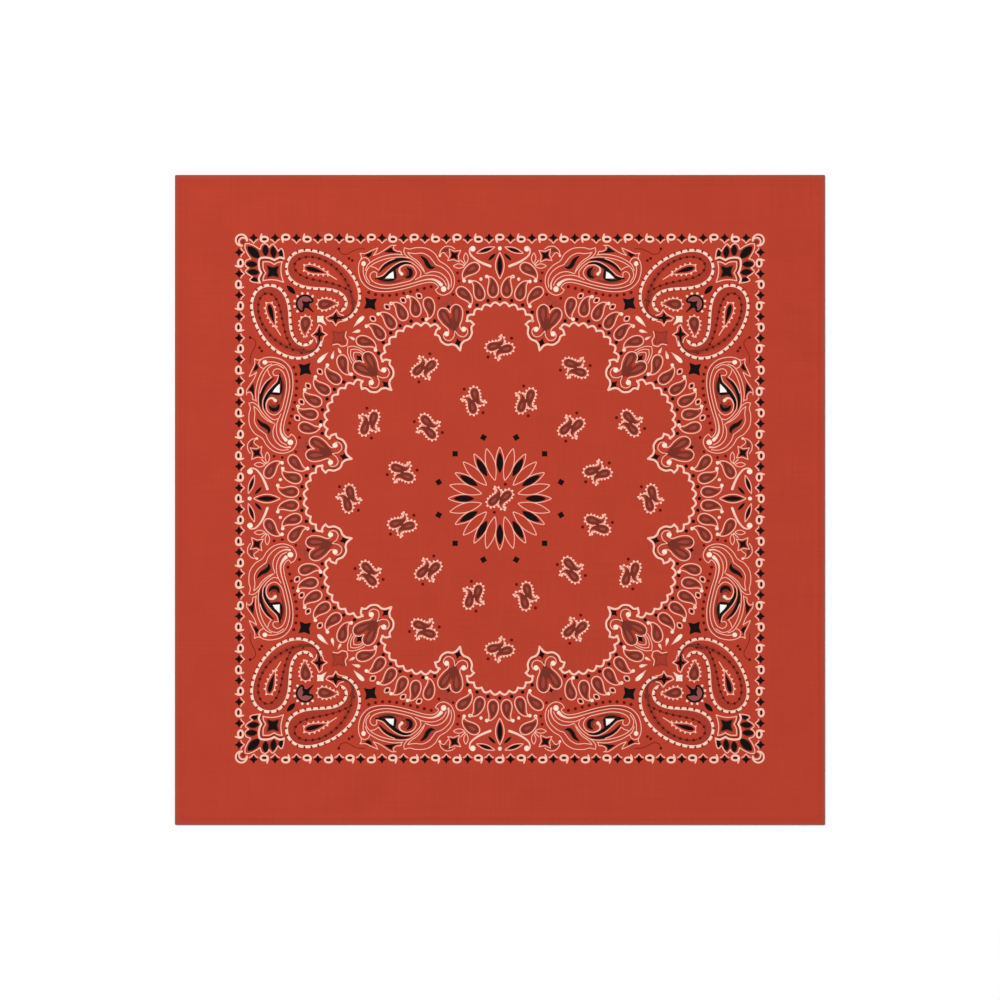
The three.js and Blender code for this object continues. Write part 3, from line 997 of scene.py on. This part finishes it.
def weave_group():
    """Plain weave from Object coordinates in metres. With sx and sy the sines of pi times x and y in yarns,
    a warp yarn stands |sx| high and rides over and under as sy times the sign of sx; a weft yarn is the same
    the other way round, and the higher one shows. Each yarn also has its own tone and thickness, from noise
    stretched along it. Puts out Height from 0 to 1 and Tone about 0.5."""
    tree, inside = group_tree("plain_weave", {"Yarns per metre": YARNS_PER_METRE}, ("Height", "Tone"))
    position = inside["Position"]
    wobble = noise(tree, -1300, -300, position, 90, 1)["Color"]
    drift = node(tree, "ShaderNodeVectorMath", -1120, -300,
                 {0: wobble, 1: (YARN_DRIFT, YARN_DRIFT, 0), 2: position}, operation="MULTIPLY_ADD")[0]
    parts = node(tree, "ShaderNodeSeparateXYZ", -950, -100, {0: drift})
    sines, slubs = [], []
    for k, stretch in ((0, (1, 0.012, 1)), (1, (0.012, 1, 1))):
        count = maths(tree, "MULTIPLY", -780, 200 - 300 * k, parts[k], inside["Yarns per metre"])
        phase = maths(tree, "MULTIPLY", -620, 200 - 300 * k, count, np.pi)
        sines.append(maths(tree, "SINE", -460, 200 - 300 * k, phase))
        squash = node(tree, "ShaderNodeVectorMath", -780, -500 - 260 * k, {0: position, 1: stretch},
                      operation="MULTIPLY")[0]
        slubs.append(noise(tree, -600, -500 - 260 * k, squash, 1500, 2)["Fac"])
    heights = []
    for k, turn_over in ((0, 0.42), (1, -0.42)):
        bulge = maths(tree, "ABSOLUTE", -280, 240 - 340 * k, sines[k])
        sign = maths(tree, "SIGN", -280, 100 - 340 * k, sines[k])
        ride = maths(tree, "MULTIPLY", -120, 100 - 340 * k, sign, sines[1 - k])
        yarn = maths(tree, "MULTIPLY_ADD", 40, 160 - 340 * k, ride, turn_over, bulge)
        heights.append(maths(tree, "MULTIPLY_ADD", 200, 160 - 340 * k, slubs[k], 0.5, yarn))
    top = maths(tree, "MAXIMUM", 380, 60, *heights)
    over = maths(tree, "GREATER_THAN", 380, -200, *heights)
    height = maths(tree, "MULTIPLY", 540, 60, top, 0.55)
    tone = mixed(tree, 560, -260, over, slubs[1], slubs[0], "FLOAT")
    node(tree, "NodeGroupOutput", 760, 0, {"Height": height, "Tone": tone})
    return tree


def painted_fold_shade_group():
    """Painted shade along the rounded fold of the edge, a greyer dark rim: Dark falls from 1 at the very edge
    of the cloth to 0 at Width, as the square of what is left of the Width. The inset comes from the larger of
    |x| and |y|."""
    tree, inside = group_tree("painted_edge_shade", {"Half side": HALF_SIDE * MM, "Width": PAINTED_SHADE_WIDTH}, ("Dark",))
    parts = node(tree, "ShaderNodeSeparateXYZ", -600, 0, {0: inside["Position"]})
    across, along = (maths(tree, "ABSOLUTE", -420, 80 - 160 * k, parts[k]) for k in (0, 1))
    reach = maths(tree, "MAXIMUM", -260, 0, across, along)
    inset = maths(tree, "SUBTRACT", -100, 0, inside["Half side"], reach)
    share = maths(tree, "DIVIDE", 60, 0, inset, inside["Width"])
    left = share_of(tree, 220, 0, share, 1.0, 0.0)
    node(tree, "NodeGroupOutput", 560, 0, {"Dark": maths(tree, "POWER", 400, 0, left, 2.0)})
    return tree


def cotton(name, color, shade, relief, weave, under=None, coverage=1.0, roughness=0.9, edge=None, thin=None,
           tone_range=TONE_RANGE, sheen=0.12, specular=0.22):
    """Woven cotton or ink on it: the weave's tone mixes shade and color, and the dye varies slowly. Where an
    ink covers less than all, the yarns' flanks show the cloth under it, and on the back the ink is mixed
    with the cloth. A fine line of an ink has the thin colour, and goes over to the full one with ink_load."""
    material = bpy.data.materials.new(name)
    material.use_nodes = True
    tree = material.node_tree
    place = node(tree, "ShaderNodeTexCoord", -1100, 0, {})["Object"]
    yarns = node(tree, "ShaderNodeGroup", -860, 60, {"Position": place}, node_tree=weave)
    cloud = noise(tree, -860, -220, place, 26, 5)["Fac"]
    spread = share_of(tree, -640, 60, yarns["Tone"], 0.5 - tone_range, 0.5 + tone_range)
    soft = maths(tree, "MULTIPLY_ADD", -460, -120, cloud, 0.7, -0.35)
    both = maths(tree, "ADD", -300, 40, spread, soft)
    result = mixed(tree, -140, 120, both, linear(shade), linear(color))
    if thin is not None:
        load = node(tree, "ShaderNodeAttribute", -140, 320, {}, attribute_name="ink_load")["Fac"]
        result = mixed(tree, 60, 260, load, linear(thin), result)
    if under is not None:
        gap = 0.55 * (1 - coverage)
        bare = share_of(tree, -140, -120, yarns["Height"], gap + 0.12, gap + 0.38)
        result = mixed(tree, 60, 80, bare, linear(under), result)
        side = node(tree, "ShaderNodeAttribute", 60, -300, {}, attribute_name="ink_side")["Fac"]
        share = maths(tree, "MULTIPLY_ADD", 240, -300, side, 1 - STRIKE_THROUGH, STRIKE_THROUGH)
        result = mixed(tree, 420, 80, share, linear(RED), result)
    # painted shade: the rim of the folded edge is mixed towards a greyer, darker colour
    if edge is not None:
        painted_shade = node(tree, "ShaderNodeGroup", 60, -120, {"Position": place}, node_tree=edge)["Dark"]
        result = mixed(tree, 240, 80, painted_shade, result, linear(PAINTED_FOLD_SHADE))
    bump = {"Strength": relief, "Distance": YARN_RELIEF, "Height": yarns["Height"]}
    feed(tree, tree.nodes["Principled BSDF"], {
        "Base Color": result,
        "Roughness": roughness,
        "Sheen Weight": sheen,
        "Sheen Roughness": 0.5,
        "Specular IOR Level": specular,
        "Normal": node(tree, "ShaderNodeBump", -140, -420, bump)["Normal"],
    })
    tree.nodes["Principled BSDF"].location = (640, 0)
    tree.nodes["Material Output"].location = (960, 0)
    return material


def floor_and_light():
    """A plain pale floor, soft light all round, a broad light from the upper left, and the camera straight
    above at the distance and lens that make the cloth span its share of the frame."""
    scene = bpy.context.scene
    reach, drop = 6.0, 0.00004
    mesh = bpy.data.meshes.new("floor")
    corners = [(x * reach, y * reach, -drop) for x, y in ((-1, -1), (1, -1), (1, 1), (-1, 1))]
    mesh.from_pydata(corners, [], [(0, 1, 2, 3)])
    paint = bpy.data.materials.new("pale_floor")
    paint.use_nodes = True
    feed(paint.node_tree, paint.node_tree.nodes["Principled BSDF"], {
        "Base Color": (0.9, 0.9, 0.9, 1),
        "Roughness": 0.8,
        "Specular IOR Level": 0.1,
        "Emission Color": (1, 1, 1, 1),
        "Emission Strength": 0.16,
    })
    mesh.materials.append(paint)
    add_object("floor", mesh)
    world = bpy.data.worlds.new("soft_room")
    world.use_nodes = True
    feed(world.node_tree, world.node_tree.nodes["Background"], {"Color": (1, 1, 1, 1), "Strength": 0.72})
    scene.world = world
    light = bpy.data.lights.new("broad_light", "AREA")
    light.shape = "DISK"
    light.size = 2.4
    light.energy = 62
    lamp = add_object("broad_light", light)
    lamp.location = (-1.7, 1.9, 2.6)
    lamp.rotation_euler = (np.radians(-38), np.radians(-30), 0)
    camera = bpy.data.cameras.new("camera")
    camera.sensor_width = 36
    distance = 2.4
    share = 0.65  # of the frame's width that the cloth takes up
    camera.lens = camera.sensor_width * distance * share / (SIDE * MM)
    scene.camera = add_object("camera", camera)
    scene.camera.location = (0, 0, distance)
    scene.view_settings.view_transform = "Standard"


def build():
    """The cloth, its hems and stitching, the print laid plate by plate, and the stage."""
    weave = weave_group()
    # the face's cotton carries painted shade along its folded edge
    face_cotton = cotton("red_cotton", RED, DEEP_RED, 0.5, weave, edge=painted_fold_shade_group())
    hem_cotton = cotton("red_cotton_hem", RED, DEEP_RED, 0.5, weave)
    thread = cotton("red_thread", (178, 56, 42), (150, 44, 33), 0.2, weave, roughness=0.6, tone_range=0.3)
    inks, lifts = {}, {}
    for ink, color, shade, relief, under, coverage, lift in INKS:
        thin = THIN_WHITE if ink == "white" else None
        inks[ink] = cotton(f"{ink}_ink", color, shade, relief, weave, under, coverage, thin=thin,
                           sheen=0.05, specular=0.1)
        lifts[ink] = lift

    face = make_face(face_cotton)
    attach(face, "root")
    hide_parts("cloth_panel")
    full, between = HALF_SIDE - HEM_GAP, HALF_SIDE - HEM_WIDTH - HEM_GAP
    edges = (("right", 0, between), ("top", 90, full), ("left", 180, between), ("bottom", 270, full))
    for name, outward, half_length in edges:
        hem = make_hem(f"turned_hem_{name}", outward, half_length, hem_cotton)
        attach(hem, "root")
        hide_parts(f"hem_{name}")
    rows = [stitch_rows("stitches_above", 1, thread), stitch_rows("stitches_below", -1, thread)]
    for row in rows:
        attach(row, "root")

    motifs = (
        border_row,
        corner_star,
        corner_paisley,
        corner_fillings,
        wave_paisley,
        garland,
        scalloped_frame,
        fleur,
        axis_spray,
        field_sprigs,
        medallion,
    )
    for motif in motifs:
        motif()
    for plate, films in plates.items():
        ink = plate.split("_")[0]
        film = film_mesh(plate, films, lifts[ink], inks[ink])
        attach(film, "root")
    floor_and_light()


build()
